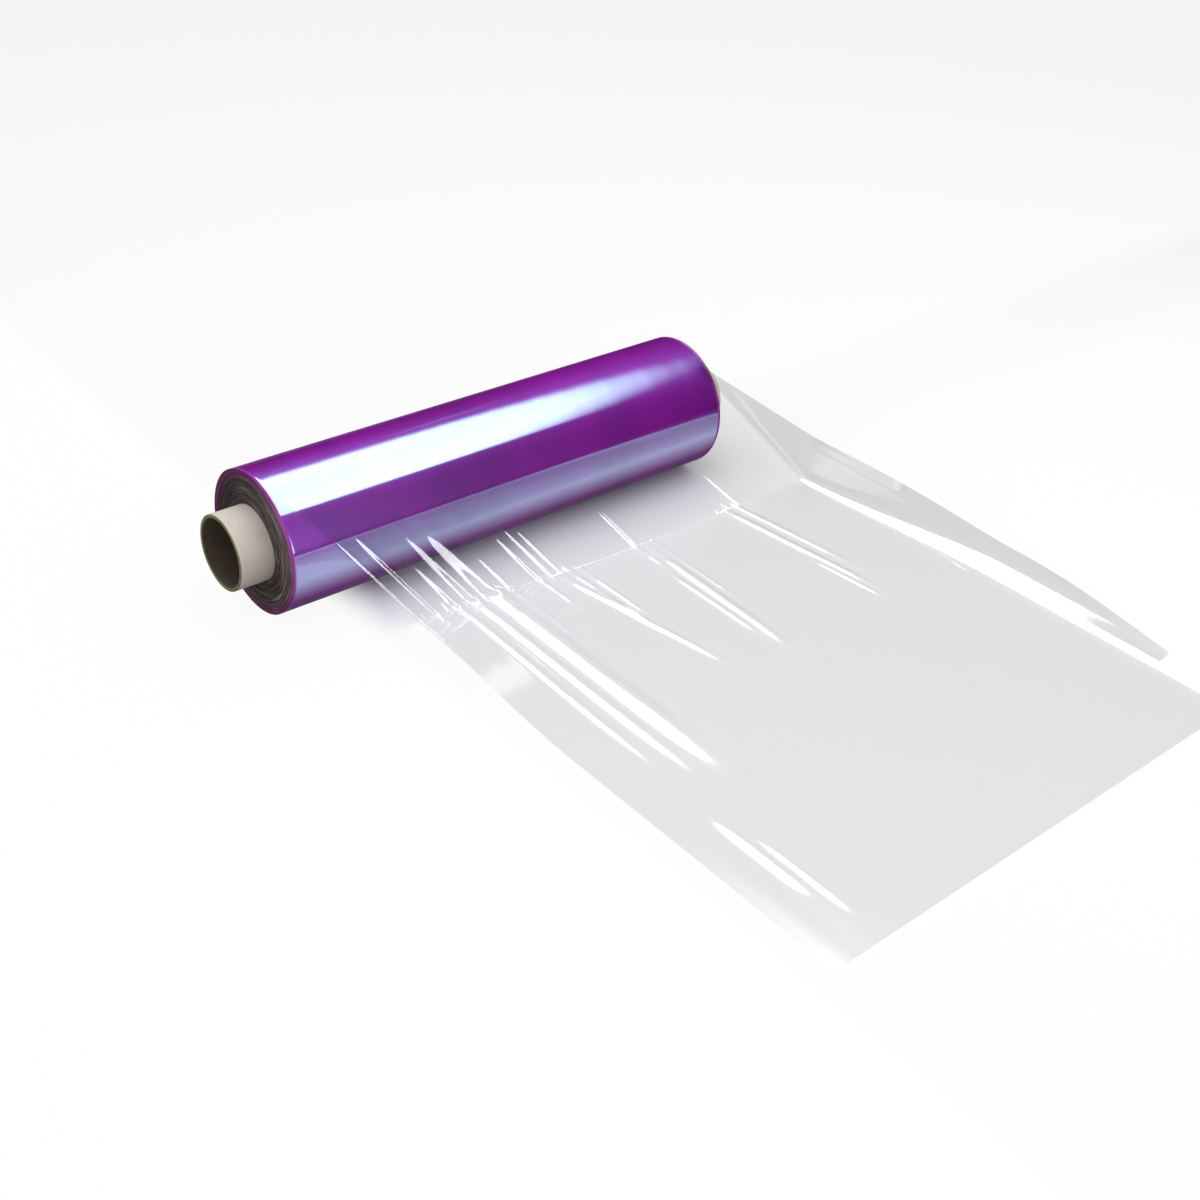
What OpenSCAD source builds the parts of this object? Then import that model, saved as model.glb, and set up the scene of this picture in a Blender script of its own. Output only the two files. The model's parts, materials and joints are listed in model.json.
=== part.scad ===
// Roll of cling film on a paperboard core, with a length of film pulled out over the table.
// X runs along the roll, -Y is the way the film is pulled, Z is up.
// The origin lies on the core's axis, half way along the roll, and the table is one roll radius below it.

/* [Roll] */
// Width of the film, which is also the length of the wound roll
film_w = 300; // [200:10:450]
// Diameter of the roll over its last turn
roll_d = 80; // [70:1:100]
// How far the looser turns stand out of the roll's end faces
turn_step = 0.6; // [0.1:0.1:1.5]
// Radial thickness of one band of turns on the end faces
turn_band = 1.6; // [0.8:0.1:4]

/* [Core] */
// Bore of the paperboard core
core_bore_d = 38; // [30:0.5:44]
// Wall of the core
core_wall = 2; // [1:0.5:4]
// How far the core stands out of the roll at each end
core_out = 19; // [2:1:40]
// Chamfer on the core's cut rims
core_chamfer = 0.4; // [0.1:0.1:0.8]
// Radial play between the core and the first turn
core_fit = 0.05; // [0.02:0.01:0.2]

/* [Pulled-out web] */
// Thickness that stands for the film, which is really about 0.012 mm
web_t = 0.5; // [0.4:0.1:1]
// Sideways drift of the web between the roll and the table
web_drift = 60; // [0:5:80]
// How far the web's edges lie in from the roll's end faces where it leaves the roll
web_inset = 1; // [0.5:0.5:5]
// Clearance between the web and the turn below it
web_fit = 0.1; // [0.08:0.01:0.3]
// Angle above the horizontal at which the last turn starts to drift sideways
drift_angle = 66; // [62:1:80]
// Distance from the roll's axis to the touch-down line at the left edge
touch_left = 62; // [60:1:90]
// Distance from the roll's axis to the touch-down line from the middle to the right edge
touch_mid = 71; // [62:1:90]
// Distance from the roll's axis to the cut end of the web
web_reach = 370; // [280:10:500]

/* [Raised right margin] */
// Width of the margin that stands up off the table
margin_w = 45; // [35:1:80]
// Height of the margin's edge above the table at the touch-down line
margin_h = 31; // [5:1:32]
// Distance from the roll's axis up to which the margin keeps that height
margin_hold = 220; // [100:10:260]
// Distance from the roll's axis at which the margin's edge would lie down
margin_end = 400; // [280:10:600]

/* [Tension wrinkles] */
// Height of the tallest wrinkle
wrinkle_h = 2.2; // [0.5:0.1:4]
// Half width of a wrinkle
wrinkle_w = 6; // [5:0.5:12]
// Distance from the left edge to the tallest wrinkle
wrinkle_main = 50; // [20:1:120]
// Distance from the left edge to the wrinkle beside that edge
wrinkle_edge = 22; // [10:1:40]
// How far left of the web's middle the middle wrinkle lies
wrinkle_mid = 2; // [0:1:30]
// Distance from the right edge to the wrinkle beside the raised margin
wrinkle_right = 74; // [60:1:110]
// Distance along the table over which the wrinkles die out
wrinkle_run = 150; // [80:5:250]

/* [Hidden] */
round_fn = 128;
core_r_in = core_bore_d / 2;
core_r_out = core_r_in + core_wall;
core_len = film_w + 2 * core_out;
roll_r = roll_d / 2;
roll_r_in = core_r_out + core_fit;

// Bands of turns between the core and the last turn, and how far each stands out
band_count = floor((roll_r - roll_r_in) / turn_band);
band_swing = 137;
function band_r(i) = roll_r_in + (roll_r - roll_r_in) * i / band_count;
function band_proud(i) = turn_step * (0.5 - 0.5 * cos(band_swing * i));
function end_profile(side) = [
    for (i = [0 : band_count - 1], edge = [0, 1])
        [band_r(i + edge), side * (film_w / 2 - turn_step + band_proud(i))]
];
function backwards(list) = [for (i = [len(list) - 1 : -1 : 0]) list[i]];

// Radius of the web's middle surface where it is still wound on
wound_r = roll_r + web_fit + web_t / 2;
column_step = 5;
column_count = round((film_w - 2 * web_inset) / column_step);
wound_rows = 7;
span_rows = 7;
table_rows = 12;
row_count = wound_rows + span_rows + table_rows;
wrinkle_rise = 45;
// Exponents that shape the margin's rise and the spacing of the rows on the table
margin_power = 2.2;
row_power = 1.4;

// Each wrinkle is its distance from the left edge and its share of the full height
wrinkles = [
    [wrinkle_main, 1],
    [wrinkle_edge, 0.6],
    [film_w / 2 - wrinkle_mid, 0.7],
    [film_w - wrinkle_right, 0.8]
];

function clamp01(t) = min(1, max(0, t));
function ease(t) = clamp01(t) * clamp01(t) * (3 - 2 * clamp01(t));

// Across the web, s is the distance from its left edge
function across(j) = web_inset + (film_w - 2 * web_inset) * j / column_count;
function margin_share(s) = clamp01((s - film_w + web_inset + margin_w) / margin_w);
function touch_y(s) = touch_left + (touch_mid - touch_left) * ease(2 * s / film_w);

// Height of the margin's edge holds for a while past the touch-down line, then eases down
function edge_height(reach) = margin_h * (1 - ease((reach - margin_hold) / (margin_end - margin_hold)));
function table_lift(s, reach) = edge_height(reach) * pow(margin_share(s), margin_power);
// The margin's edge comes in by what its height takes from its width
function edge_pull(reach) = margin_w - sqrt(margin_w * margin_w - pow(edge_height(reach), 2));
function table_x(s, reach) =
    s - film_w / 2 + web_drift - edge_pull(reach) * pow(margin_share(s), 2);

// A wrinkle rises before the touch-down line and dies out after it; run is the distance past the line
function wrinkle_fade(run) = run < 0 ? ease(1 + run / wrinkle_rise) : ease(1 - run / wrinkle_run);
function wrinkle_at(s) =
    max([for (w = wrinkles) wrinkle_h * w[1] * exp(-pow((s - w[0]) / wrinkle_w, 2))]);

// The straight span is tangent to the roll and ends where the web meets the table or its margin
function span_end(s) = [-touch_y(s), web_t / 2 - roll_r + table_lift(s, touch_y(s))];
function leave_angle(s) =
    let (q = span_end(s)) atan2(q[1], -q[0]) + acos(wound_r / norm(q));
function on_roll(angle, r) = [-r * cos(angle), r * sin(angle)];
function wound_len(s) = (drift_angle - leave_angle(s)) * wound_r * PI / 180;
function span_len(s) = norm(span_end(s) - on_roll(leave_angle(s), wound_r));
function drift_x(s, run) =
    let (start = s - film_w / 2, goal = table_x(s, touch_y(s)))
    start + (goal - start) * run / (wound_len(s) + span_len(s));

function wound_point(s, t) =
    let (angle = drift_angle + (leave_angle(s) - drift_angle) * t)
    concat([drift_x(s, wound_len(s) * t)], on_roll(angle, wound_r));

function span_point(s, t) =
    let (a = on_roll(leave_angle(s), wound_r), q = span_end(s))
    let (bump = wrinkle_at(s) * wrinkle_fade((t - 1) * span_len(s)))
    concat([drift_x(s, wound_len(s) + span_len(s) * t)], a + (q - a) * t + on_roll(leave_angle(s), bump));

function table_point(s, t) =
    let (reach = touch_y(s) + (web_reach - touch_y(s)) * pow(t, row_power))
    let (bump = wrinkle_at(s) * wrinkle_fade(reach - touch_y(s)))
    [table_x(s, reach), -reach, web_t / 2 - roll_r + table_lift(s, reach) + bump];

function web_point(i, j) =
    i < wound_rows ? wound_point(across(j), i / wound_rows)
    : i < wound_rows + span_rows ? span_point(across(j), (i - wound_rows) / span_rows)
    : table_point(across(j), (i - wound_rows - span_rows) / table_rows);

// Both skins lie half a thickness either side of the middle surface, along its normal
function unit(v) = v / norm(v);
function web_normal(i, j) =
    unit(cross(
        web_point(i, max(j - 1, 0)) - web_point(i, min(j + 1, column_count)),
        web_point(max(i - 1, 0), j) - web_point(min(i + 1, row_count), j)
    ));
function skin(side) = [
    for (i = [0 : row_count], j = [0 : column_count])
        web_point(i, j) + web_normal(i, j) * side * web_t / 2
];

// Faces of the closed sheet: upper skin, lower skin, the two long edges and the two short ones
function at(layer, i, j) = (layer * (row_count + 1) + i) * (column_count + 1) + j;
function quad(a, b, c, d) = [[a, b, c], [a, c, d]];
function web_faces() = [
    for (i = [0 : row_count - 1], j = [0 : column_count - 1])
        each quad(at(0, i, j), at(0, i, j + 1), at(0, i + 1, j + 1), at(0, i + 1, j)),
    for (i = [0 : row_count - 1], j = [0 : column_count - 1])
        each quad(at(1, i, j), at(1, i + 1, j), at(1, i + 1, j + 1), at(1, i, j + 1)),
    for (i = [0 : row_count - 1])
        each quad(at(0, i, 0), at(0, i + 1, 0), at(1, i + 1, 0), at(1, i, 0)),
    for (i = [0 : row_count - 1])
        each quad(at(0, i, column_count), at(1, i, column_count),
            at(1, i + 1, column_count), at(0, i + 1, column_count)),
    for (j = [0 : column_count - 1])
        each quad(at(0, 0, j), at(1, 0, j), at(1, 0, j + 1), at(0, 0, j + 1)),
    for (j = [0 : column_count - 1])
        each quad(at(0, row_count, j), at(0, row_count, j + 1),
            at(1, row_count, j + 1), at(1, row_count, j))
];

// Paperboard tube, open at both ends, with its cut rims broken by a small chamfer
module core() {
    color("blanchedalmond")
        rotate([0, 90, 0])
            rotate_extrude($fn = round_fn)
                polygon([
                    [core_r_in + core_chamfer, -core_len / 2],
                    [core_r_out - core_chamfer, -core_len / 2],
                    [core_r_out, core_chamfer - core_len / 2],
                    [core_r_out, core_len / 2 - core_chamfer],
                    [core_r_out - core_chamfer, core_len / 2],
                    [core_r_in + core_chamfer, core_len / 2],
                    [core_r_in, core_len / 2 - core_chamfer],
                    [core_r_in, core_chamfer - core_len / 2]
                ]);
}

// The turns still on the core, with bands of looser turns standing out of the end faces
module wound_film() {
    color("mediumorchid")
        rotate([0, 90, 0])
            rotate_extrude($fn = round_fn)
                polygon(concat(end_profile(-1), backwards(end_profile(1))));
}

// The last turn leaves the roll, crosses to the table and lies along it to a straight cut
module pulled_web() {
    color("lavender")
        polyhedron(points = concat(skin(1), skin(-1)), faces = web_faces());
}

core();
wound_film();
pulled_web();
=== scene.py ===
"""Roll of cling film on a paperboard core, with a length of clear film pulled out over the table.

Lengths are in metres in the row frame: X along the roll, -Y the way the film is pulled, Z up.
The origin lies on the core's axis, half way along the roll.
"""

import json
import math

import bpy
import numpy as np
from mathutils import Matrix, Vector


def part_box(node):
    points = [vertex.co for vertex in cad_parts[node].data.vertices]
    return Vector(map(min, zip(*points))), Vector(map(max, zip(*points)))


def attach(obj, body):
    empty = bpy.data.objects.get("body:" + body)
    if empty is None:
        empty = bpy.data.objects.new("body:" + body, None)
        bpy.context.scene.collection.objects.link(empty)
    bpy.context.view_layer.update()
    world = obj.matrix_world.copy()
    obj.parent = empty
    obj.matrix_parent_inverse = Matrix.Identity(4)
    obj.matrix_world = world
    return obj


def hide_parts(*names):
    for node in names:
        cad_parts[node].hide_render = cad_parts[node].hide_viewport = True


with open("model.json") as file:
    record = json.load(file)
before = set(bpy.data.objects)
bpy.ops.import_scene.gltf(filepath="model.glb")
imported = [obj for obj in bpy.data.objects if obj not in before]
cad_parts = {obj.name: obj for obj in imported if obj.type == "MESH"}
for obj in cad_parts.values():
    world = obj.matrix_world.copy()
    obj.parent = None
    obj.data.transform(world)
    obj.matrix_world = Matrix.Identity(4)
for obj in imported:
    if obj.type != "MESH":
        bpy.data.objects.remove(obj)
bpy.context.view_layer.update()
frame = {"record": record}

MM = 0.001

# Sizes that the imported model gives
WOUND_LOW, WOUND_HIGH = (np.array(corner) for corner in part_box("wound_film"))
CORE_LOW, CORE_HIGH = (np.array(corner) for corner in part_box("core"))
WEB_LOW = np.array(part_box("pulled_web")[0])
ROLL_R = float(WOUND_HIGH[2])
FILM_W = float(WOUND_HIGH[0] - WOUND_LOW[0])
CORE_R = float(CORE_HIGH[2])
CORE_LEN = float(CORE_HIGH[0] - CORE_LOW[0])
BORE_R = frame["record"]["mounts"][0]["dims"]["r_mm"] * MM
TABLE_Z = -ROLL_R
WEB_REACH = float(-WEB_LOW[1])

# How the web leaves the roll and meets the table, as in the part's own sizes
WEB_INSET = 1 * MM
WEB_DRIFT = 60 * MM
DRIFT_ANGLE = math.radians(66)
# How much later round the roll the right edge comes loose
LATER_ANGLE = math.radians(16)
TOUCH_LEFT = 62 * MM
TOUCH_MID = 71 * MM
MARGIN_W = 45 * MM
MARGIN_H = 31 * MM
MARGIN_HOLD = 220 * MM
MARGIN_END = 400 * MM
# The margin's fold at the touch-down line and further out: place, radius, steepest angle and height,
# and the run over which it goes from the one to the other
FOLD_X = 193 * MM, 199 * MM
FOLD_R = 8 * MM, 25 * MM
FOLD_ANGLE = math.radians(86), math.radians(60)
FOLD_H = 29 * MM, 13 * MM
FOLD_RUN = 150 * MM
# How far the left edge spreads out along the table, the width that it takes along, and its run
FLARE = 8 * MM
FLARE_W = 90 * MM
FLARE_RUN = 140 * MM
# Clearances of the drawn film over the turn below it and over the table
OVER_ROLL = 0.3 * MM
OVER_TABLE = 0.25 * MM


def ease(t):
    """Smooth step from 0 to 1: three t squared less two t cubed, held flat outside."""
    t = np.clip(t, 0, 1)
    return t * t * (3 - 2 * t)


def hex_colour(text):
    """An sRGB hex value such as 7d0880 as linear red, green and blue with alpha 1."""
    share = [int(text[i : i + 2], 16) / 255 for i in (0, 2, 4)]
    line = [c / 12.92 if c <= 0.04045 else ((c + 0.055) / 1.055) ** 2.4 for c in share]
    return (*line, 1.0)


def add_node(tree, kind, inputs=None, **settings):
    """Adds one node with its settings, and sets or links its inputs by name or place."""
    made = tree.nodes.new(kind)
    for name, value in settings.items():
        setattr(made, name, value)
    for name, value in (inputs or {}).items():
        if isinstance(value, bpy.types.NodeSocket):
            tree.links.new(value, made.inputs[name])
        else:
            made.inputs[name].default_value = value
    return made


def maths(tree, operation, first, second=0.0):
    """The output of one math node."""
    return add_node(tree, "ShaderNodeMath", {0: first, 1: second}, operation=operation).outputs[0]


def ranged(tree, value, start, end, low=0.0, high=1.0, smooth=True):
    """The output of a node that takes a value's range start to end to low to high, flat outside it."""
    return add_node(
        tree,
        "ShaderNodeMapRange",
        {"Value": value, "From Min": start, "From Max": end, "To Min": low, "To Max": high},
        interpolation_type="SMOOTHSTEP" if smooth else "LINEAR",
    ).outputs["Result"]


def colour_mix(tree, share, first, second):
    """The output of a node that mixes two colours."""
    return add_node(
        tree, "ShaderNodeMix", {"Factor": share, "A": first, "B": second}, data_type="RGBA"
    ).outputs["Result"]


def shader_mix(tree, share, first, second):
    """The output of a node that mixes two shaders."""
    return add_node(tree, "ShaderNodeMixShader", {0: share, 1: first, 2: second}).outputs[0]


def noise(tree, place, **inputs):
    """The share that a noise texture gives at a place scaled beforehand, so that its own scale is 1."""
    return add_node(tree, "ShaderNodeTexNoise", {"Vector": place, "Scale": 1.0, **inputs}).outputs["Fac"]


def stretched(tree, place, scale):
    """A place scaled along its three axes."""
    return add_node(tree, "ShaderNodeMapping", {"Vector": place, "Scale": scale}).outputs[0]


def two_tones(tree, share, start, first, end, second):
    """The output of a colour ramp from one sRGB hex colour at start to another at end."""
    tone = add_node(tree, "ShaderNodeValToRGB", {"Fac": share})
    for element, place, text in zip(tone.color_ramp.elements, (start, end), (first, second)):
        element.position = place
        element.color = hex_colour(text)
    return tone.outputs["Color"]


def bumped(tree, height, strength, distance):
    """The normal that a small relief gives."""
    return add_node(
        tree, "ShaderNodeBump", {"Height": height, "Strength": strength, "Distance": distance}
    ).outputs["Normal"]


def principled(tree, **inputs):
    """The output of a principled shader; its inputs are named with underscores for spaces."""
    named = {name.replace("_", " "): value for name, value in inputs.items()}
    return add_node(tree, "ShaderNodeBsdfPrincipled", named).outputs[0]


def new_material(name):
    """An empty material's tree, the object's own coordinates in it, and those split into X, Y and Z."""
    material = bpy.data.materials.new(name)
    material.use_nodes = True
    tree = material.node_tree
    tree.nodes.clear()
    place = add_node(tree, "ShaderNodeTexCoord").outputs["Object"]
    apart = add_node(tree, "ShaderNodeSeparateXYZ", {0: place}).outputs
    return material, tree, place, apart


def finish_material(material, shader):
    """Sends the shader to the material's output."""
    add_node(material.node_tree, "ShaderNodeOutputMaterial", {"Surface": shader})
    return material


def surface(name, points, wrap_rows=False, wrap_columns=False, index=None, materials=()):
    """A mesh over a grid of points: four neighbours make one face, and a wrapped side joins its start.

    points has the shape rows by columns by 3. index gives each row of faces its material's place.
    """
    rows, columns = points.shape[:2]
    row = np.arange(rows if wrap_rows else rows - 1)
    column = np.arange(columns if wrap_columns else columns - 1)
    i, j = np.meshgrid(row, column, indexing="ij")
    ii, jj = (i + 1) % rows, (j + 1) % columns
    quads = np.stack([i * columns + j, ii * columns + j, ii * columns + jj, i * columns + jj], axis=-1)
    quads = quads.reshape(-1, 4).astype(np.int32)
    mesh = bpy.data.meshes.new(name)
    mesh.vertices.add(rows * columns)
    mesh.vertices.foreach_set("co", points.reshape(-1).astype(np.float32))
    mesh.loops.add(quads.size)
    mesh.loops.foreach_set("vertex_index", quads.reshape(-1))
    mesh.polygons.add(len(quads))
    mesh.polygons.foreach_set("loop_start", np.arange(0, quads.size, 4, dtype=np.int32))
    mesh.polygons.foreach_set("use_smooth", np.ones(len(quads), bool))
    for material in materials:
        mesh.materials.append(material)
    if index is not None:
        mesh.polygons.foreach_set("material_index", np.repeat(index, len(column)).astype(np.int32))
    mesh.update(calc_edges=True)
    mesh.validate()
    piece = bpy.data.objects.new(name, mesh)
    bpy.context.collection.objects.link(piece)
    return piece


def turned(along, radius, angles):
    """Points of a surface turned about X: along and radius are rows by columns, angles one per column."""
    x = np.broadcast_to(along, radius.shape)
    return np.stack([x, radius * np.cos(angles), radius * np.sin(angles)], axis=-1)


# Paper and film


def wound_film_material():
    """Plasticised PVC film, cast thin and wound in hundreds of turns.

    Each turn is clear, but together they show a deep magenta, and the many faces throw back a cool,
    strong gloss, so the reflections run from white through lavender blue to violet.
    """
    material, tree, place, apart = new_material("plasticised PVC film, wound")
    # Hair lines round the roll, about 1 mm apart along it and 40 mm long
    hair = noise(tree, stretched(tree, place, (900, 25, 25)), Detail=3.0)
    # Soft bands where the film ran a little thicker, about 30 mm apart
    band = noise(tree, stretched(tree, place, (32, 9, 9)), Detail=2.0)
    tone = two_tones(tree, band, 0.3, "7e0086", 0.7, "920098")
    sharp = ranged(tree, hair, 0.35, 0.65, 0.055, 0.10, smooth=False)
    normal = bumped(tree, hair, 0.12, 0.2 * MM)
    # The last turn mirrors sharply, and the many faces below it spread a bluer glow round each reflection
    lobes = [
        principled(
            tree, Base_Color=tone, Roughness=roughness, Normal=normal, IOR=2.3, Specular_Tint=tint
        )
        for roughness, tint in ((sharp, (0.40, 0.90, 0.97, 1.0)), (0.34, (0.08, 0.16, 0.9, 1.0)))
    ]
    film = shader_mix(tree, 0.3, *lobes)
    # Painted glow: light leaves the turns at their cut edges, so the last two millimetres at each end are
    # painted a brighter magenta
    off = maths(tree, "ABSOLUTE", apart["X"])
    rim = ranged(tree, off, FILM_W / 2 - 2.2 * MM, FILM_W / 2 - 1.2 * MM, smooth=False)
    edge = principled(tree, Base_Color=hex_colour("a0109c"), Roughness=0.4, IOR=1.3)
    return finish_material(material, shader_mix(tree, rim, film, edge))


def turn_edge_material():
    """The cut edges of the wound turns: PVC seen end on, slit with a blade.

    They swallow light and look brown black, with thin silvery rings painted on as highlights where a turn
    stands out, strongest at the front of the face.
    """
    material, tree, place, apart = new_material("slit edges of wound PVC film")
    across = add_node(tree, "ShaderNodeVectorMath", {0: place, 1: (0, 1, 1)}, operation="MULTIPLY")
    radius = add_node(tree, "ShaderNodeVectorMath", {0: across.outputs[0]}, operation="LENGTH")
    radius = radius.outputs["Value"]
    # Rings about 0.35 mm apart, the finest that the picture shows
    ring = add_node(
        tree,
        "ShaderNodeTexNoise",
        {"W": maths(tree, "MULTIPLY", radius, 2800), "Scale": 1.0, "Detail": 3.0},
        noise_dimensions="1D",
    ).outputs["Fac"]
    # Arcs a few centimetres long and under 1 mm apart, where a turn stands out and a painted glint goes
    angle = maths(tree, "ARCTAN2", apart["Z"], apart["Y"])
    polar = add_node(tree, "ShaderNodeCombineXYZ", {0: maths(tree, "MULTIPLY", radius, 1500), 1: angle})
    strand = noise(tree, polar.outputs[0], Detail=5.0, Roughness=0.7)
    tone = two_tones(tree, maths(tree, "ADD", ring, strand), 0.88, "140c0b", 1.0, "463634")
    # The outermost turns let the film's own colour through
    outer = ranged(tree, radius, ROLL_R - 7 * MM, ROLL_R - 1 * MM)
    tinted = colour_mix(tree, outer, tone, hex_colour("6e1060"))
    # Painted highlight: the silvery glints are strongest at the front of the face, which faces the light
    glint_strands = ranged(tree, strand, 0.50, 0.64, smooth=False)
    front_glint_share = ranged(tree, apart["Y"], -30 * MM, 0.0, 1.3, 0.4, smooth=False)
    painted_glint_share = add_node(tree, "ShaderNodeMath", {0: glint_strands, 1: front_glint_share}, operation="MULTIPLY", use_clamp=True)
    painted_glint_colour = colour_mix(tree, painted_glint_share.outputs[0], tinted, hex_colour("b5a9a8"))
    normal = bumped(tree, ring, 1.0, 0.6 * MM)
    return finish_material(
        material, principled(tree, Base_Color=painted_glint_colour, Roughness=0.28, Normal=normal, IOR=1.4)
    )


def clear_film_material():
    """One layer of plasticised PVC film about 0.012 mm thick, cast clear.

    It lets nearly all light through with a faint cool grey, and mirrors the lamps at its wrinkles.
    """
    material, tree, _, _ = new_material("plasticised PVC film, single layer")
    skin = principled(tree, Base_Color=(0.96, 0.97, 1.0, 1.0), Metallic=1.0, Roughness=0.05)
    # Each layer's worth of film takes a little light; where it clings to the roll it doesn't show
    layers = add_node(tree, "ShaderNodeAttribute", attribute_name="layers").outputs["Fac"]
    left = ranged(tree, layers, 0.0, 3.0, 1.0, 0.68, smooth=False)
    cool = add_node(tree, "ShaderNodeVectorMath", {0: left, 1: (0.995, 1.0, 1.005)}, operation="MULTIPLY")
    through = add_node(tree, "ShaderNodeBsdfTransparent", {"Color": cool.outputs[0]}).outputs[0]
    # Both faces mirror alike: 5.5% straight on, more towards grazing, by a power of the facing share
    facing = add_node(tree, "ShaderNodeLayerWeight", {"Blend": 0.5}).outputs["Facing"]
    grazing = maths(tree, "POWER", facing, 3.5)
    gloss = ranged(tree, grazing, 0.0, 1.0, 0.055, 1.0, smooth=False)
    loose = maths(tree, "MINIMUM", maths(tree, "MULTIPLY", layers, gloss), gloss)
    # Where the film is drawn taut over the roll's end, fine creases scatter what it mirrors
    clear = add_node(tree, "ShaderNodeAttribute", attribute_name="clear").outputs["Fac"]
    shine = maths(tree, "MULTIPLY", loose, clear)
    return finish_material(material, shader_mix(tree, shine, through, skin))


def board_material(name, pale, dark):
    """Spiral-wound kraft paperboard: matt, with short fibres about 2 mm long and a faint mottle."""
    material, tree, place, _ = new_material(name)
    fibre = noise(tree, stretched(tree, place, (500, 1600, 1600)), Detail=4.0)
    mottle = noise(tree, stretched(tree, place, (120, 120, 120)), Detail=3.0)
    tone = two_tones(tree, maths(tree, "ADD", fibre, mottle), 0.65, dark, 1.0, pale)
    normal = bumped(tree, fibre, 0.35, 0.15 * MM)
    return finish_material(material, principled(tree, Base_Color=tone, Roughness=0.85, Normal=normal))


# The roll

RING_COUNT = 56
RING_DEPTH = 0.55 * MM
ROUND_STEPS = 180
LENGTH_STEPS = 170
WOUND_BORE_R = CORE_R + 0.05 * MM
# Relief of the roll: thicker bands, loose turns at the ends, and the uneven turns of its end faces
SWELL = 0.008 * MM
SLACK = 0.03 * MM
WOBBLE = 0.06 * MM
# Width and drop of the rounded shoulder where the outer turns meet the end faces
SHOULDER_W = 0.4 * MM
SHOULDER_DROP = 0.15 * MM


def end_face(rng):
    """Rows of one end face from the bore out: radius, and how far in from the outermost plane they lie.

    A slow wave and a random share per ring set the depth, and each ring is a flat land with a short step.
    """
    edges = np.linspace(WOUND_BORE_R, ROLL_R, RING_COUNT + 1)
    share = 0.5 + 0.3 * np.sin(np.arange(RING_COUNT) * 0.45 + 1) + 0.4 * (rng.random(RING_COUNT) - 0.5)
    depth = RING_DEPTH * np.clip(share, 0, 1)
    depth[-2:] = [0.25 * RING_DEPTH, 0.1 * RING_DEPTH]
    gap = 0.12 * (edges[1] - edges[0])
    radius = np.stack([edges[:-1] + gap, edges[1:] - gap], axis=1).reshape(-1)
    return radius, np.repeat(depth, 2)


def wound_film_piece():
    """The turns on the core: a closed profile turned about X, with slight swells along and round it."""
    rng = np.random.default_rng(11)
    angles = np.linspace(0, 2 * math.pi, ROUND_STEPS, endpoint=False)
    left_r, left_in = end_face(rng)
    right_r, right_in = end_face(rng)
    half = FILM_W / 2
    x_out = np.linspace(-half, half, LENGTH_STEPS)
    parts_x = [left_in - half, x_out, (half - right_in)[::-1]]
    parts_r = [left_r, np.full(LENGTH_STEPS, ROLL_R), right_r[::-1]]
    x = np.concatenate(parts_x)
    r = np.concatenate(parts_r)
    is_side = np.zeros(len(x), bool)
    is_side[len(left_r) : len(left_r) + LENGTH_STEPS] = True
    # The film ran a hundredth of a millimetre thicker in some bands, and lies a little loose at the ends
    swell = SWELL * (np.sin(x * 190) + 0.6 * np.sin(x * 417 + 1) + 0.4 * np.sin(x * 83 + 2))
    end_start, end_width = 0.38 * FILM_W, 0.12 * FILM_W
    loose = SLACK * (ease((-x - end_start) / end_width) + ease((x - end_start) / end_width))
    turn, along = angles[None, :], x[:, None]
    lobes = np.sin(5 * turn + 60 * along) + 0.6 * np.sin(9 * turn - 95 * along)
    relief = np.where(is_side[:, None], swell[:, None] - SLACK + loose[:, None] * (lobes - 1.6), 0)
    shoulder = np.minimum(half - np.abs(x), SHOULDER_W) / SHOULDER_W
    relief = relief - np.where(is_side, SHOULDER_DROP * (1 - ease(shoulder)), 0)[:, None]
    radius = np.minimum(r[:, None] + relief, ROLL_R)
    wobble = WOBBLE * np.sin(turn * 2 + r[:, None] * 900)
    along = along + np.where(is_side[:, None], 0, -np.sign(x)[:, None] * np.abs(wobble))
    index = np.where(is_side, 0, 1)
    index[-1] = 1
    return surface(
        "wound_turns",
        turned(along, radius, angles),
        wrap_rows=True,
        wrap_columns=True,
        index=index,
        materials=[wound_film_material(), turn_edge_material()],
    )


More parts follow.
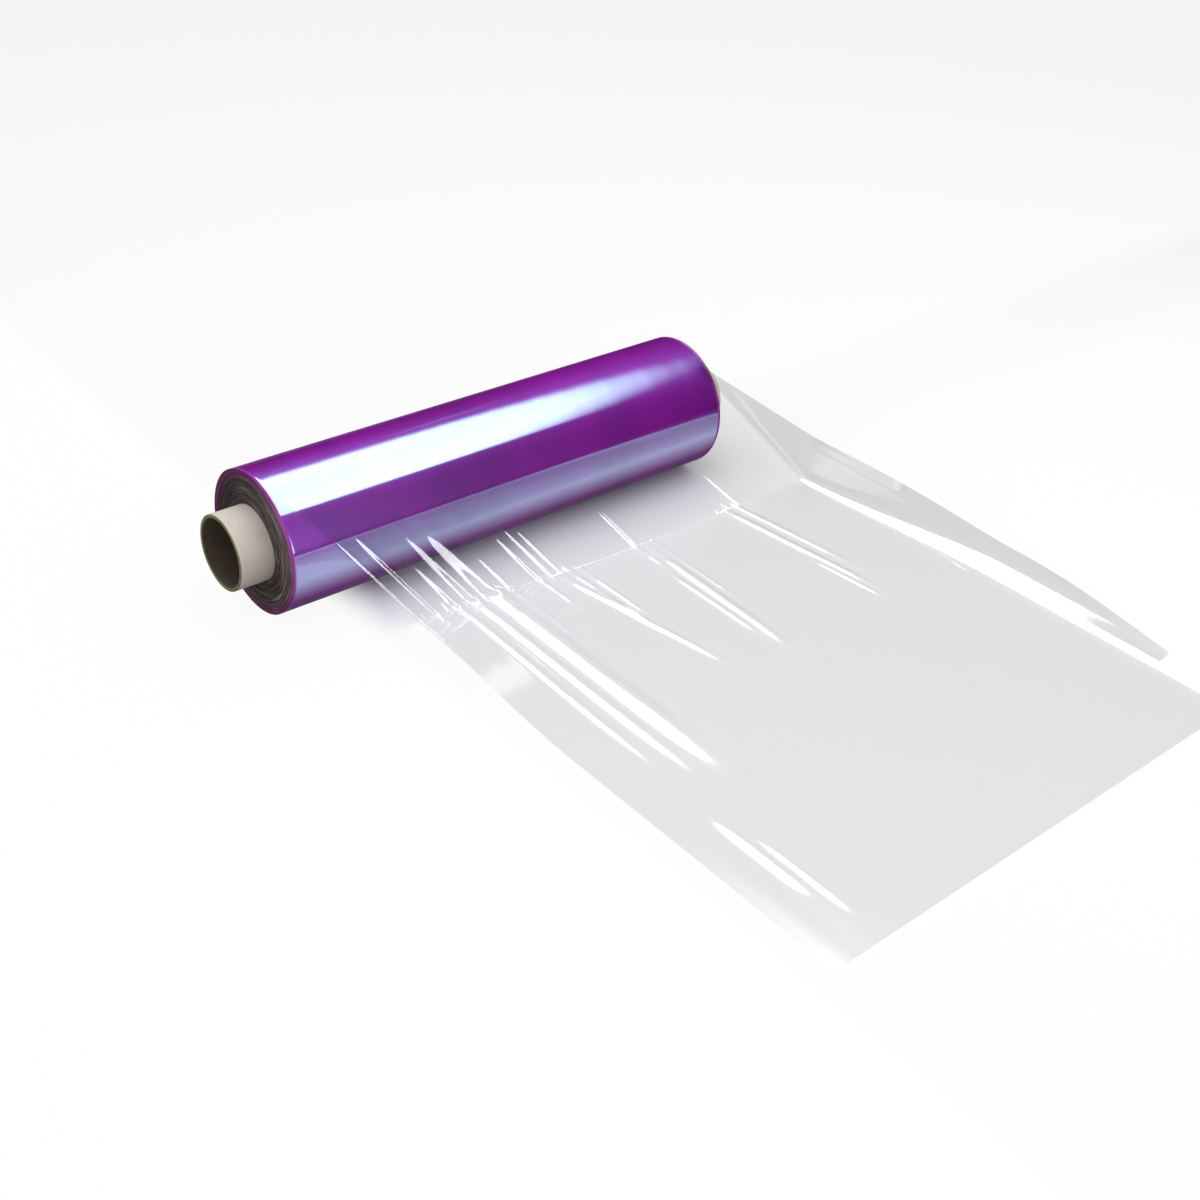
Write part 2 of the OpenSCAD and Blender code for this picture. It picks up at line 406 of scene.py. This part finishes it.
def core_piece():
    """The paperboard tube: a closed profile turned about X, with the shallow groove of its spiral joint.

    The groove follows a helix: it lies where the length plus the turned share of a lead is a whole lead.
    """
    half = CORE_LEN / 2
    round_over = 0.4 * MM
    joint_lead = 66 * MM
    joint_w = 0.5 * MM
    joint_depth = 0.12 * MM
    angles = np.linspace(0, 2 * math.pi, 144, endpoint=False)
    x_long = np.concatenate(
        [np.linspace(-half + round_over, -FILM_W / 2, 60), np.linspace(FILM_W / 2, half - round_over, 60)]
    )
    corner = np.linspace(0, math.pi / 2, 5)[1:-1]
    rim_x = half - round_over + round_over * np.sin(corner)
    rim_r = round_over * (np.cos(corner) - 1)
    x_in = np.linspace(half - round_over, -half + round_over, 40)
    mid_r = (CORE_R + BORE_R) / 2
    pieces = [
        (x_long, np.full(len(x_long), CORE_R), 0),
        (rim_x, CORE_R + rim_r, 1),
        (np.array([half, half]), np.array([mid_r + 0.3 * MM, mid_r - 0.3 * MM]), 1),
        (rim_x[::-1], BORE_R - rim_r[::-1], 1),
        (x_in, np.full(len(x_in), BORE_R), 2),
        (-rim_x, BORE_R - rim_r, 1),
        (np.array([-half, -half]), np.array([mid_r - 0.3 * MM, mid_r + 0.3 * MM]), 1),
        (-rim_x[::-1], CORE_R + rim_r[::-1], 1),
    ]
    x = np.concatenate([p[0] for p in pieces])
    r = np.concatenate([p[1] for p in pieces])
    index = np.concatenate([np.full(len(p[0]), p[2]) for p in pieces])
    turn = (x[:, None] / joint_lead + angles[None, :] / (2 * math.pi)) % 1.0
    away = np.minimum(turn, 1 - turn) * joint_lead
    groove = joint_depth * np.exp(-((away / joint_w) ** 2))
    outward = np.where(r > mid_r, -1.0, 1.0)[:, None]
    return surface(
        "paperboard_core",
        turned(x[:, None], r[:, None] + outward * groove, angles),
        wrap_rows=True,
        wrap_columns=True,
        index=index,
        materials=[
            board_material("paperboard, pale liner", "d4cabf", "c9bfb3"),
            board_material("paperboard, cut rim", "86804f", "5f5b38"),
            board_material("paperboard, kraft inside", "54483c", "3d342b"),
        ],
    )


# The pulled-out web

WEB_COLUMNS = 560
WOUND_ROWS = 8
SPAN_ROWS = 50
TABLE_ROWS = 110
# Powers that space the rows: the span's are closer at its end, and the table's at its start
SPAN_POWER = 0.75
TABLE_POWER = 1.6
# How strongly the margin bunches up at its right end on the roll
BUNCH_POWER = 2.5
# Rounding of the bend at the touch-down line, and what each wrinkle adds for its height
BEND_R = 0.35 * MM
BEND_PER_HEIGHT = 4.5

# Wrinkles that run with the pull. Each has its distance from the left edge, half width and height,
# then where it starts and ends, measured along the film from the touch-down line, all in mm,
# and last its drift across the film for each mm along it.
WRINKLES = [
    (3, 0.9, 0.2, -66, 40, 0.0),
    (14, 1.7, 0.42, -62, 20, 0.0),
    (27, 2.0, 0.62, -48, 178, 0.0),
    (38, 2.9, 0.95, -70, 196, 0.0),
    (51, 5.6, 1.75, -70, 200, 0.0),
    (61, 1.8, 0.5, -40, 76, 0.0),
    (80, 1.6, 0.45, -40, 44, 0.0),
    (88, 1.3, 0.32, -40, 10, 0.0),
    (94, 1.3, 0.32, -38, 16, 0.0),
    (91, 2.1, 0.68, -18, 130, 0.16),
    (99, 1.8, 0.55, -14, 80, 0.02),
    (106, 1.5, 0.42, -10, 70, 0.0),
    (147, 1.5, 0.42, -44, 44, 0.0),
    (145, 1.8, 0.55, 20, 116, -0.02),
    (154, 2.8, 0.95, -10, 138, -0.05),
    (160, 1.5, 0.42, -10, 84, -0.03),
    (216, 1.6, 0.45, 60, 130, 0.09),
    (220, 2.3, 0.78, -28, 128, 0.1),
    (229, 1.9, 0.6, -48, 108, 0.11),
    (23, 2.0, 0.65, 206, 270, 0.0),
    (29, 1.6, 0.48, 228, 288, 0.0),
    (293, 0.9, 0.16, -90, 90, 0.0),
    (297, 0.8, 0.14, -90, 60, 0.0),
]


def edge_height(reach):
    """Height of the right margin's edge: level for a while past the touch-down line, then easing down."""
    return MARGIN_H * (1 - ease((reach - MARGIN_HOLD) / (MARGIN_END - MARGIN_HOLD)))


def margin_share(s):
    """0 up to the raised margin, and 1 at the right edge."""
    return np.clip((s - FILM_W + WEB_INSET + MARGIN_W) / MARGIN_W, 0, 1)


def section(s, reach):
    """The web's section across the pull: place, height over the table, and the angle it stands at.

    It is flat up to the fold, then an arc, then a straight wall. The wall's height and angle fall off
    together further out, and the margin takes the length that they need.
    """
    out = ease((reach - TOUCH_MID) / FOLD_RUN)
    fold_x, radius, angle, height = (
        near + (far - near) * out for near, far in (FOLD_X, FOLD_R, FOLD_ANGLE, FOLD_H)
    )
    left = edge_height(reach) / MARGIN_H
    angle, height = angle * left, height * left
    start_x = FILM_W / 2 - WEB_INSET - MARGIN_W + WEB_DRIFT
    wall = (height - radius * (1 - np.cos(angle))) / np.sin(angle)
    length = fold_x - start_x + radius * angle + wall
    over = np.maximum(margin_share(s) * length - (fold_x - start_x), 0)
    stand = np.minimum(over / radius, angle)
    beyond = over - radius * stand
    place = np.minimum(start_x + margin_share(s) * length, fold_x)
    place = np.where(margin_share(s) > 0, place, s - FILM_W / 2 + WEB_DRIFT)
    flare = FLARE * np.clip(1 - s / FLARE_W, 0, 1) ** 2 * ease((reach - TOUCH_LEFT) / FLARE_RUN)
    x = place + radius * np.sin(stand) + beyond * np.cos(stand) - flare
    return x, radius * (1 - np.cos(stand)) + beyond * np.sin(stand), stand


def wrinkle_height(s, run):
    """Sum of bell-shaped ridges, each eased in and out along the film."""
    total = np.zeros(np.broadcast(s, run).shape)
    for place, half_width, height, start, end, slant in WRINKLES:
        middle = (place + slant * run / MM) * MM
        bell = np.exp(-(((s - middle) / (half_width * MM)) ** 2))
        share = (run / MM - start) / (end - start)
        total += height * MM * bell * ease(share / 0.3) * ease((1 - share) / 0.3)
    return total


def crinkle_height(s, run):
    """Fine puckers along the touch-down line: short waves across the film that fade within 5 mm of it."""
    patch = 0.35 + 0.65 * np.clip(np.sin(s * 61 + 0.6) + 0.5 * np.sin(s * 23 + 2), 0, 1)
    wave = np.sin(s * 1900 + 2.2 * np.sin(s * 170)) + 0.6 * np.sin(s * 2600 + run * 700)
    return 0.11 * MM * patch * wave * np.exp(-((run / (4.5 * MM)) ** 2))


def slack_height(s, run):
    """Faint long waves that run with the pull."""
    wave = np.sin(s * 260 + 1.2 * np.sin(run * 14)) + 0.7 * np.sin(s * 433 + run * 11 + 1)
    return 0.012 * MM * wave * ease((run + 40 * MM) / (60 * MM))


def column_places():
    """Places of the grid's columns across the web, set closer together over the wrinkles."""
    place = np.linspace(WEB_INSET, FILM_W - WEB_INSET, 4000)
    weight = 1 + 2.0 * margin_share(place) ** 2
    for middle, half_width, *_ in WRINKLES:
        away = (place - middle * MM) / (1.6 * half_width * MM)
        weight += 3.0 * np.exp(-(away**2)) / half_width**0.5
    total = np.concatenate([[0], np.cumsum((weight[1:] + weight[:-1]) / 2)])
    return np.interp(np.linspace(0, total[-1], WEB_COLUMNS), total, place)


def web_points():
    """The web's surface on a grid of distance across, s, and rows from the roll to the cut end.

    It is wound on up to the angle where a straight span is tangent to the roll, then straight to the
    touch-down line, then along the table. It drifts sideways evenly from where it comes loose, which is
    later at the right, down to the touch-down line. For each point it also gives the layers' worth of
    film that shows, and how clearly it mirrors.
    """
    s = column_places()[None, :]
    touch = TOUCH_LEFT + (TOUCH_MID - TOUCH_LEFT) * ease(2 * s / FILM_W)
    wound_r = ROLL_R + OVER_ROLL
    goal_x, lift, stand = section(s, touch)
    end_y, end_z = -touch, TABLE_Z + OVER_TABLE + lift
    leave = np.arctan2(end_z, -end_y) + np.arccos(wound_r / np.hypot(end_y, end_z))
    leave_y, leave_z = -wound_r * np.cos(leave), wound_r * np.sin(leave)
    loose = np.maximum(DRIFT_ANGLE - LATER_ANGLE * (s / FILM_W) ** 2, leave + math.radians(1))
    wound_len = (loose - leave) * wound_r
    span_len = np.hypot(end_y - leave_y, end_z - leave_z)
    # On the roll the margin bunches up at its right end
    bunched = 1 - (1 - margin_share(s)) ** BUNCH_POWER
    start_x = s - FILM_W / 2 + MARGIN_W * (bunched - margin_share(s))

    t = np.linspace(0, 1, WOUND_ROWS, endpoint=False)[:, None]
    angle = DRIFT_ANGLE + (leave - DRIFT_ANGLE) * t
    wound = [
        start_x + (goal_x - start_x) * np.maximum(loose - angle, 0) * wound_r / (wound_len + span_len),
        -wound_r * np.cos(angle),
        wound_r * np.sin(angle),
    ]
    # The bend at the touch-down line is sharp, but over each wrinkle it is rounded, the more the higher
    rounding = BEND_R + BEND_PER_HEIGHT * wrinkle_height(s, 0 * s)
    fall = (end_y - leave_y) / span_len, (end_z - leave_z) / span_len

    def bent(run, x, y, z, stand):
        """Adds the rounding of the bend and the wrinkles along the surface's normal."""
        near = np.clip(1 - np.abs(run) / rounding, 0, 1) ** 2 * rounding / 4
        turn = np.clip((run + rounding) / (2 * rounding), 0, 1)
        normal_y, normal_z = fall[1] * (1 - turn), turn - fall[0] * (1 - turn)
        size = np.hypot(normal_y, normal_z)
        ridge = wrinkle_height(s, run)
        bump = ridge + crinkle_height(s, run) * np.exp(-ridge / (0.08 * MM)) + slack_height(s, run)
        bump = np.maximum(bump, -0.1 * MM)
        upright = bump * np.cos(stand) / size
        return [
            x - bump * np.sin(stand),
            y - (1 + fall[0]) * near + upright * normal_y,
            z - fall[1] * near + upright * normal_z,
        ]

    t = np.linspace(0, 1, SPAN_ROWS, endpoint=False)[:, None] ** SPAN_POWER
    x = start_x + (goal_x - start_x) * (wound_len + span_len * t) / (wound_len + span_len)
    y, z = leave_y + (end_y - leave_y) * t, leave_z + (end_z - leave_z) * t
    span = bent((t - 1) * span_len, x, y, z, stand * t)
    t = np.linspace(0, 1, TABLE_ROWS)[:, None] ** TABLE_POWER
    reach = touch + (WEB_REACH - touch) * t
    x, height, stand = section(s, reach)
    table = bent(reach - touch, x, -reach, TABLE_Z + OVER_TABLE + height, stand)
    blocks = []
    for block in (wound, span, table):
        shape = np.broadcast(*block).shape
        blocks.append(np.stack([np.broadcast_to(v, shape) for v in block], -1))
    # Layers' worth of film that show: none where it clings, more on the margin and beside the roll
    cling = np.linspace(0, 1, WOUND_ROWS)[:, None] + 0 * s
    fold = 1 + 2.0 * ease(stand / math.radians(60))
    near = fold[:1] + 0.8 * np.linspace(1, 0, SPAN_ROWS)[:, None] * (fold[:1] - 1)
    layers = np.concatenate([cling * near[:1], near, fold])
    # Fine creases haze the margin between the roll and the table, and clear up along it
    haze = ease((margin_share(s) - 0.35) / 0.25)
    past_line = np.linspace(0, 8, TABLE_ROWS)
    creased = np.concatenate([np.ones(WOUND_ROWS + SPAN_ROWS), 1 - ease(past_line)])
    return np.concatenate(blocks), layers, 1 - 0.85 * haze * creased[:, None]


def web_piece():
    """The pulled-out film as one sheet, with its faces turned up."""
    points, layers, clear = web_points()
    piece = surface("pulled_film", points, materials=[clear_film_material()])
    for name, values in (("layers", layers), ("clear", clear)):
        share = piece.data.attributes.new(name, "FLOAT", "POINT")
        share.data.foreach_set("value", values.reshape(-1).astype(np.float32))
    return piece


# The studio

# How bright the table's painted glow stands in the roll's gloss, against 1 for plain white paper
GLOSS_FLOOR = 3.3


def floor_material():
    """Plain pale table.

    In the roll's gloss it glows instead of being lit: a painted reflection of the bright table under the
    softbox, with painted shade in the roll's own shadow, beyond the table's right-hand edge and far in
    front.
    """
    material, tree, _, apart = new_material("pale table")
    path = add_node(tree, "ShaderNodeLightPath").outputs
    beyond = ranged(tree, apart["X"], 0.30, 0.36, 1.0, 0.06)
    shade = ranged(tree, apart["Y"], -0.075, -0.028, 1.0, 0.04)
    far = ranged(tree, apart["Y"], -0.52, -0.40, 0.02, 1.0)
    level = GLOSS_FLOOR
    for share in (beyond, shade, far):
        level = maths(tree, "MULTIPLY", level, share)
    # Painted reflection: in gloss the table glows rather than being lit, darker where painted shadow
    # falls
    painted_gloss_glow = add_node(tree, "ShaderNodeEmission", {"Strength": level}).outputs[0]
    # Painted shade: light bounced off the table is dimmed to 0.3, which darkens the roll's underside
    tone = colour_mix(tree, path["Is Diffuse Ray"], (0.94, 0.94, 0.94, 1), (0.3, 0.3, 0.3, 1))
    table = principled(tree, Base_Color=tone, Roughness=0.8, Specular_IOR_Level=0.0)
    # Seen by the camera, part of it is plain white, so that its shadows stay faint away from the roll
    white = add_node(tree, "ShaderNodeEmission", {"Strength": 1.0}).outputs[0]
    away = ranged(tree, maths(tree, "ABSOLUTE", apart["Y"]), 0.02, 0.07, 0.0, 0.55)
    aside = ranged(tree, apart["X"], -0.12, -0.085, 0.93, 0.0)
    plain = maths(tree, "MULTIPLY", path["Is Camera Ray"], maths(tree, "MAXIMUM", away, aside))
    seen = shader_mix(tree, plain, table, white)
    return finish_material(material, shader_mix(tree, path["Is Glossy Ray"], seen, painted_gloss_glow))


def make_floor():
    """A large flat table just under the object."""
    half = 3.0
    z = TABLE_Z - 0.1 * MM
    corners = np.array([[[-half, -half, z], [half, -half, z]], [[-half, half, z], [half, half, z]]])
    floor = surface("table", corners[:, ::-1], materials=[floor_material()])


def light_panel(name, centre, aim, size, strength, fades, corner=None, order=1):
    """A softbox seen only in gloss: a plane whose glow eases off towards its four sides.

    fades are the shares of its width and length over which it eases, at -X, +X, -Y and +Y.
    corner cuts one corner softly: weights of X and Y, and the sums at which it is dark and fully lit.
    """
    material, tree, place, apart = new_material(name)
    glow = 1.0
    for axis, side, share in zip("XXYY", (-1, 1, -1, 1), fades):
        eased = ranged(tree, apart[axis], side, side * (1 - 2 * share))
        glow = maths(tree, "MULTIPLY", glow, eased)
    if corner:
        weights = (corner[0], corner[1], 0)
        weigh = add_node(tree, "ShaderNodeVectorMath", {0: place, 1: weights}, operation="DOT_PRODUCT")
        cut = ranged(tree, weigh.outputs["Value"], corner[2], corner[3])
        glow = maths(tree, "MULTIPLY", glow, cut)
    # Either only its mirror images show it (order 1) or only mirror images of those (order 2)
    depth = add_node(tree, "ShaderNodeLightPath").outputs["Glossy Depth"]
    shown = maths(tree, "LESS_THAN" if order == 1 else "GREATER_THAN", depth, 1.5)
    lamp = add_node(tree, "ShaderNodeEmission", {"Strength": strength}).outputs[0]
    gone = add_node(tree, "ShaderNodeBsdfTransparent").outputs[0]
    finish_material(material, shader_mix(tree, maths(tree, "MULTIPLY", shown, glow), gone, lamp))
    corners = np.array([[[-1, -1, 0], [1, -1, 0]], [[-1, 1, 0], [1, 1, 0]]], float)
    panel = surface(name, corners, materials=[material])
    turn = (Vector(aim) - Vector(centre)).to_track_quat("-Z", "Y")
    panel.matrix_world = Matrix.LocRotScale(Vector(centre), turn, Vector((size[0] / 2, size[1] / 2, 1)))
    for ray in ("camera", "diffuse", "transmission", "shadow"):
        setattr(panel, "visible_" + ray, False)


# Each softbox has its middle, the point that it faces, its width and length, and its level. They were
# placed so that the roll's highlights and the wrinkles' streaks fall as in the photograph.
SOFTBOXES = [
    {
        "name": "overhead softbox",
        "centre": (1.425, 0.26, 2.4),
        "aim": (1.425, 0.26, 0),
        "size": (1.65, 3.78),
        "strength": 12.0,
        "fades": (0.05, 0.42, 0.06, 0.24),
        "corner": (0.825, 1.134, 1.37, 0.52),
    },
    {
        "name": "far softbox",
        "centre": (0.25, 1.64, 2.38),
        "aim": (0.25, 1.64, 0),
        "size": (1.85, 1.8),
        "strength": 16.0,
        "fades": (0.05, 0.05, 0.05, 0.1),
    },
    {
        "name": "side softbox",
        "centre": (0.92, -0.28, 0.24),
        "aim": (0, -0.28, 0.24),
        "size": (0.55, 0.4),
        "strength": 7.0,
        "fades": (0.1, 0.1, 0.1, 0.1),
    },
    {
        "name": "front softbox",
        "centre": (0.18, -1.5, 0.6),
        "aim": (0.18, 0, 0.6),
        "size": (0.55, 1.25),
        "strength": 12.0,
        "fades": (0.05, 0.05, 0.05, 0.05),
    },
    {
        "name": "overhead softbox, left half",
        "centre": (0.275, 0.2, 2.34),
        "aim": (0.275, 0.2, 0),
        "size": (0.95, 3.0),
        "strength": 22.0,
        "fades": (0.05, 0.15, 0.05, 0.05),
        "order": 2,
    },
    {
        "name": "window",
        "centre": (2.06, 2.45, 2.37),
        "aim": (2.06, 2.45, 0),
        "size": (0.4, 0.13),
        "strength": 2.0,
        "fades": (0.1, 0.4, 0.1, 0.1),
    },
]


def area_lamp(name, centre, aim, size, power):
    """A soft lamp that lights the colours but isn't seen in the gloss."""
    data = bpy.data.lights.new(name, "AREA")
    data.shape = "RECTANGLE"
    data.size, data.size_y = size
    data.energy = power
    lamp = bpy.data.objects.new(name, data)
    lamp.location = centre
    lamp.rotation_euler = (Vector(aim) - Vector(centre)).to_track_quat("-Z", "Y").to_euler()
    lamp.visible_glossy = False
    bpy.context.collection.objects.link(lamp)


def make_world():
    """White behind the object, a soft even fill on it, and a dim room in its gloss."""
    world = bpy.data.worlds.new("studio")
    bpy.context.scene.world = world
    world.use_nodes = True
    tree = world.node_tree
    tree.nodes.clear()
    path = add_node(tree, "ShaderNodeLightPath").outputs
    seen = maths(tree, "MAXIMUM", path["Is Camera Ray"], path["Is Transmission Ray"])
    ahead = add_node(tree, "ShaderNodeTexCoord").outputs["Generated"]
    apart = add_node(tree, "ShaderNodeSeparateXYZ", {0: ahead}).outputs
    left = ranged(tree, apart["X"], 0.35, 0.66, 0.3, 0.0)
    near = ranged(tree, apart["Y"], -0.6, -0.1, 1.0, 0.02)
    behind = ranged(tree, apart["X"], -0.2, 0.1, 0.7, 0.0, smooth=False)
    room = maths(tree, "MAXIMUM", maths(tree, "MULTIPLY", left, near), behind)
    fill = ranged(tree, path["Is Glossy Ray"], 0.0, 1.0, 0.8, room, smooth=False)
    level = ranged(tree, seen, 0.0, 1.0, fill, 1.0, smooth=False)
    sky = add_node(tree, "ShaderNodeBackground", {"Color": (1, 1, 1, 1), "Strength": level})
    add_node(tree, "ShaderNodeOutputWorld", {"Surface": sky.outputs[0]})


def make_camera():
    """The photograph's camera, from its place, its three turns and its focal length in pixels of 1200."""
    place = Vector((-0.4936, -0.6446, 0.4421))
    yaw, pitch, roll = math.radians(42.52), math.radians(33.21), math.radians(3.93)
    focal_px, frame_px, sensor_mm = 1601.2, 1200, 36.0
    ahead = Vector((math.sin(yaw) * math.cos(pitch), math.cos(yaw) * math.cos(pitch), -math.sin(pitch)))
    level_right = Vector((math.cos(yaw), -math.sin(yaw), 0))
    level_up = level_right.cross(ahead)
    right = level_right * math.cos(roll) + level_up * math.sin(roll)
    up = level_up * math.cos(roll) - level_right * math.sin(roll)
    data = bpy.data.cameras.new("camera")
    data.sensor_width = sensor_mm
    data.lens = focal_px / frame_px * sensor_mm
    data.clip_start = 0.01
    camera = bpy.data.objects.new("camera", data)
    camera.matrix_world = Matrix.Translation(place) @ Matrix((right, up, -ahead)).transposed().to_4x4()
    bpy.context.collection.objects.link(camera)
    bpy.context.scene.camera = camera


make_camera()
make_world()
make_floor()
area_lamp("overhead soft lamp", (0.15, -0.25, 0.95), (0, -0.1, 0), (1.3, 1.3), 4)
for panel in SOFTBOXES:
    light_panel(**panel)

wound = wound_film_piece()
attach(wound, "root")
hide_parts("wound_film")

core = core_piece()
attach(core, "root")
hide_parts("core")

web = web_piece()
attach(web, "root")
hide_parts("pulled_web")

bpy.context.scene.view_settings.view_transform = "Standard"
